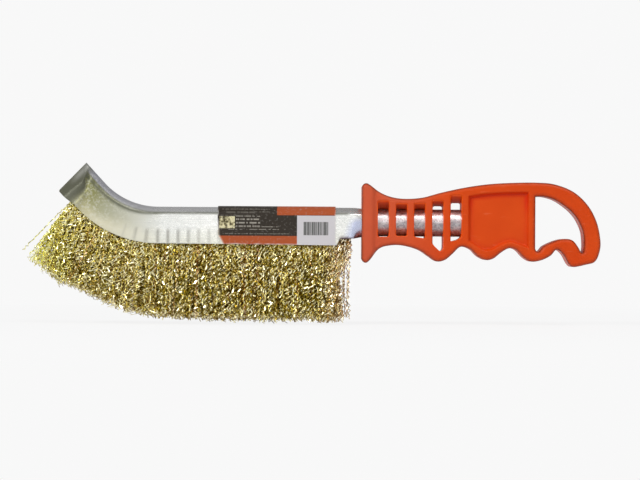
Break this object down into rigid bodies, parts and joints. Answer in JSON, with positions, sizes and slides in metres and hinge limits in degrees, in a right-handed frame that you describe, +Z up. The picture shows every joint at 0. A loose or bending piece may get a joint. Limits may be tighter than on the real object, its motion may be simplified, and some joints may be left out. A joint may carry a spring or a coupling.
{
  "type": "hand wire brush",
  "caption": "Wire scratch brush: a folded steel channel with an upswept pinched tip holds crimped brass-coloured wire, on a moulded handle with finger bumps and a hanging loop.",
  "frame": {"origin": "on the surface that the brush stands on with its trimmed wire tips, under the middle of its length and of its thickness", "axes": "+X along the brush from the upswept tip to the hanging loop, +Z up from the wire tips to the steel's top, +Y across the thickness; the brush is alike on both sides of Y = 0"},
  "size_m": [0.2638, 0.0208, 0.0736],
  "materials": {
    "galvanised_steel": "bright galvanised sheet, satin",
    "handle_plastic": "moulded, fine satin grain",
    "label_print": "printed, satin film",
    "core_steel": "drawn wire",
    "brass_plated_wire": "bright plated wire, crimped"
  },
  "bodies": {
    "root": {"steel_body": "galvanised_steel", "grip_handle": "handle_plastic", "label_sleeve": "label_print", "retaining_wire": "core_steel", "bristle_bundle_01": "brass_plated_wire", "bristle_bundle_02": "brass_plated_wire", "bristle_bundle_03": "brass_plated_wire", "bristle_bundle_04": "brass_plated_wire", "bristle_bundle_05": "brass_plated_wire", "bristle_bundle_06": "brass_plated_wire", "bristle_bundle_07": "brass_plated_wire", "bristle_bundle_08": "brass_plated_wire", "bristle_bundle_09": "brass_plated_wire", "bristle_bundle_10": "brass_plated_wire", "bristle_bundle_11": "brass_plated_wire", "bristle_bundle_12": "brass_plated_wire", "bristle_bundle_13": "brass_plated_wire", "bristle_bundle_14": "brass_plated_wire", "bristle_bundle_15": "brass_plated_wire", "bristle_bundle_16": "brass_plated_wire", "bristle_bundle_17": "brass_plated_wire", "bristle_bundle_18": "brass_plated_wire", "bristle_bundle_19": "brass_plated_wire", "bristle_bundle_20": "brass_plated_wire", "bristle_bundle_21": "brass_plated_wire", "bristle_bundle_22": "brass_plated_wire", "bristle_bundle_23": "brass_plated_wire", "bristle_bundle_24": "brass_plated_wire", "bristle_bundle_25": "brass_plated_wire"}
  },
  "joints": []
}
